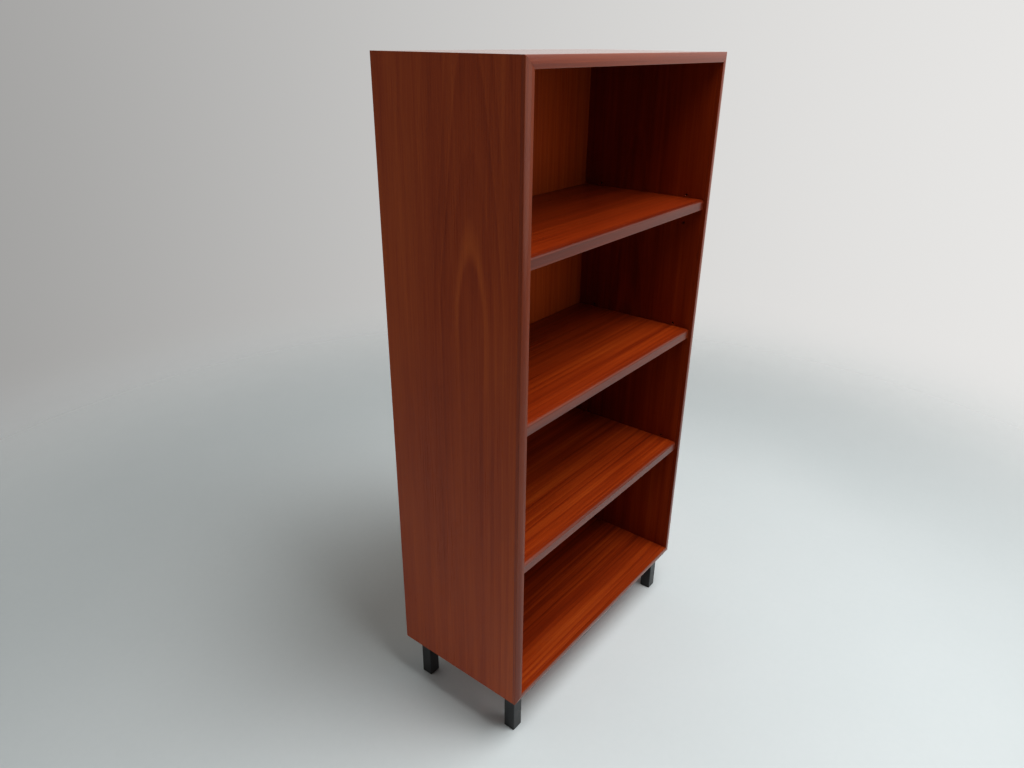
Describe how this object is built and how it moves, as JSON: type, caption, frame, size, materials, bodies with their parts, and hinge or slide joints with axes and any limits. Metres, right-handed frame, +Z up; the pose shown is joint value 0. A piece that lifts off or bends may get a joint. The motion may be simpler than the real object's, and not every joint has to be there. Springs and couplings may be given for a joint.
{
  "type": "bookcase",
  "caption": "Tall open bookcase in mitred teak veneer, with adjustable shelves resting on pins and short square black metal legs.",
  "frame": {"origin": "on the floor, under the middle of the case", "axes": "+Z up, +X to the right as seen from the front, +Y to the back; the open front faces -Y"},
  "size_m": [0.7, 0.335, 1.406],
  "materials": {
    "teak_veneer": "satin lacquer",
    "teak_solid": "satin lacquer",
    "plywood": "raw",
    "black_steel": "semi-gloss black",
    "black_plastic": "matt black",
    "brass_pin": "turned, slightly dulled",
    "zinc_screw": "zinc plated"
  },
  "bodies": {
    "case": {"back_panel": "teak_veneer", "back_screw_1": "zinc_screw", "back_screw_2": "zinc_screw", "back_screw_3": "zinc_screw", "back_screw_4": "zinc_screw", "back_screw_5": "zinc_screw", "back_screw_6": "zinc_screw", "back_screw_7": "zinc_screw", "back_screw_8": "zinc_screw", "case_bottom": "teak_veneer", "case_left": "teak_veneer", "case_right": "teak_veneer", "case_top": "teak_veneer", "corner_tongue_bottom_left": "plywood", "corner_tongue_bottom_right": "plywood", "corner_tongue_top_left": "plywood", "corner_tongue_top_right": "plywood", "leg_back_left": "black_steel", "leg_back_left_glide": "black_plastic", "leg_back_left_screw_1": "zinc_screw", "leg_back_left_screw_2": "zinc_screw", "leg_back_left_screw_3": "zinc_screw", "leg_back_right": "black_steel", "leg_back_right_glide": "black_plastic", "leg_back_right_screw_1": "zinc_screw", "leg_back_right_screw_2": "zinc_screw", "leg_back_right_screw_3": "zinc_screw", "leg_front_left": "black_steel", "leg_front_left_glide": "black_plastic", "leg_front_left_screw_1": "zinc_screw", "leg_front_left_screw_2": "zinc_screw", "leg_front_left_screw_3": "zinc_screw", "leg_front_right": "black_steel", "leg_front_right_glide": "black_plastic", "leg_front_right_screw_1": "zinc_screw", "leg_front_right_screw_2": "zinc_screw", "leg_front_right_screw_3": "zinc_screw", "lipping_bottom": "teak_solid", "lipping_left": "teak_solid", "lipping_right": "teak_solid", "lipping_top": "teak_solid"},
    "shelf_upper": {"shelf_upper_board": "teak_veneer", "shelf_upper_lipping": "teak_solid"},
    "shelf_middle": {"shelf_middle_board": "teak_veneer", "shelf_middle_lipping": "teak_solid"},
    "shelf_lower": {"shelf_lower_board": "teak_veneer", "shelf_lower_lipping": "teak_solid"},
    "shelf_upper_pin_front_left": {"shelf_upper_pin_front_left": "brass_pin"},
    "shelf_upper_pin_front_right": {"shelf_upper_pin_front_right": "brass_pin"},
    "shelf_upper_pin_back_left": {"shelf_upper_pin_back_left": "brass_pin"},
    "shelf_upper_pin_back_right": {"shelf_upper_pin_back_right": "brass_pin"},
    "shelf_middle_pin_front_left": {"shelf_middle_pin_front_left": "brass_pin"},
    "shelf_middle_pin_front_right": {"shelf_middle_pin_front_right": "brass_pin"},
    "shelf_middle_pin_back_left": {"shelf_middle_pin_back_left": "brass_pin"},
    "shelf_middle_pin_back_right": {"shelf_middle_pin_back_right": "brass_pin"},
    "shelf_lower_pin_front_left": {"shelf_lower_pin_front_left": "brass_pin"},
    "shelf_lower_pin_front_right": {"shelf_lower_pin_front_right": "brass_pin"},
    "shelf_lower_pin_back_left": {"shelf_lower_pin_back_left": "brass_pin"},
    "shelf_lower_pin_back_right": {"shelf_lower_pin_back_right": "brass_pin"}
  },
  "joints": [
    {"name": "shelf_upper_lift", "type": "slide", "parent": "case", "child": "shelf_upper", "axis": [0, 0, 1], "range_m": [0, 0.284]},
    {"name": "shelf_middle_lift", "type": "slide", "parent": "case", "child": "shelf_middle", "axis": [0, 0, 1], "range_m": [0, 0.28]},
    {"name": "shelf_lower_lift", "type": "slide", "parent": "case", "child": "shelf_lower", "axis": [0, 0, 1], "range_m": [0, 0.282]},
    {"name": "shelf_upper_pin_front_left_pull", "type": "slide", "parent": "case", "child": "shelf_upper_pin_front_left", "axis": [1, 0, 0], "range_m": [0, 0.012]},
    {"name": "shelf_upper_pin_front_right_pull", "type": "slide", "parent": "case", "child": "shelf_upper_pin_front_right", "axis": [-1, 0, 0], "range_m": [0, 0.012]},
    {"name": "shelf_upper_pin_back_left_pull", "type": "slide", "parent": "case", "child": "shelf_upper_pin_back_left", "axis": [1, 0, 0], "range_m": [0, 0.012]},
    {"name": "shelf_upper_pin_back_right_pull", "type": "slide", "parent": "case", "child": "shelf_upper_pin_back_right", "axis": [-1, 0, 0], "range_m": [0, 0.012]},
    {"name": "shelf_middle_pin_front_left_pull", "type": "slide", "parent": "case", "child": "shelf_middle_pin_front_left", "axis": [1, 0, 0], "range_m": [0, 0.012]},
    {"name": "shelf_middle_pin_front_right_pull", "type": "slide", "parent": "case", "child": "shelf_middle_pin_front_right", "axis": [-1, 0, 0], "range_m": [0, 0.012]},
    {"name": "shelf_middle_pin_back_left_pull", "type": "slide", "parent": "case", "child": "shelf_middle_pin_back_left", "axis": [1, 0, 0], "range_m": [0, 0.012]},
    {"name": "shelf_middle_pin_back_right_pull", "type": "slide", "parent": "case", "child": "shelf_middle_pin_back_right", "axis": [-1, 0, 0], "range_m": [0, 0.012]},
    {"name": "shelf_lower_pin_front_left_pull", "type": "slide", "parent": "case", "child": "shelf_lower_pin_front_left", "axis": [1, 0, 0], "range_m": [0, 0.012]},
    {"name": "shelf_lower_pin_front_right_pull", "type": "slide", "parent": "case", "child": "shelf_lower_pin_front_right", "axis": [-1, 0, 0], "range_m": [0, 0.012]},
    {"name": "shelf_lower_pin_back_left_pull", "type": "slide", "parent": "case", "child": "shelf_lower_pin_back_left", "axis": [1, 0, 0], "range_m": [0, 0.012]},
    {"name": "shelf_lower_pin_back_right_pull", "type": "slide", "parent": "case", "child": "shelf_lower_pin_back_right", "axis": [-1, 0, 0], "range_m": [0, 0.012]}
  ]
}
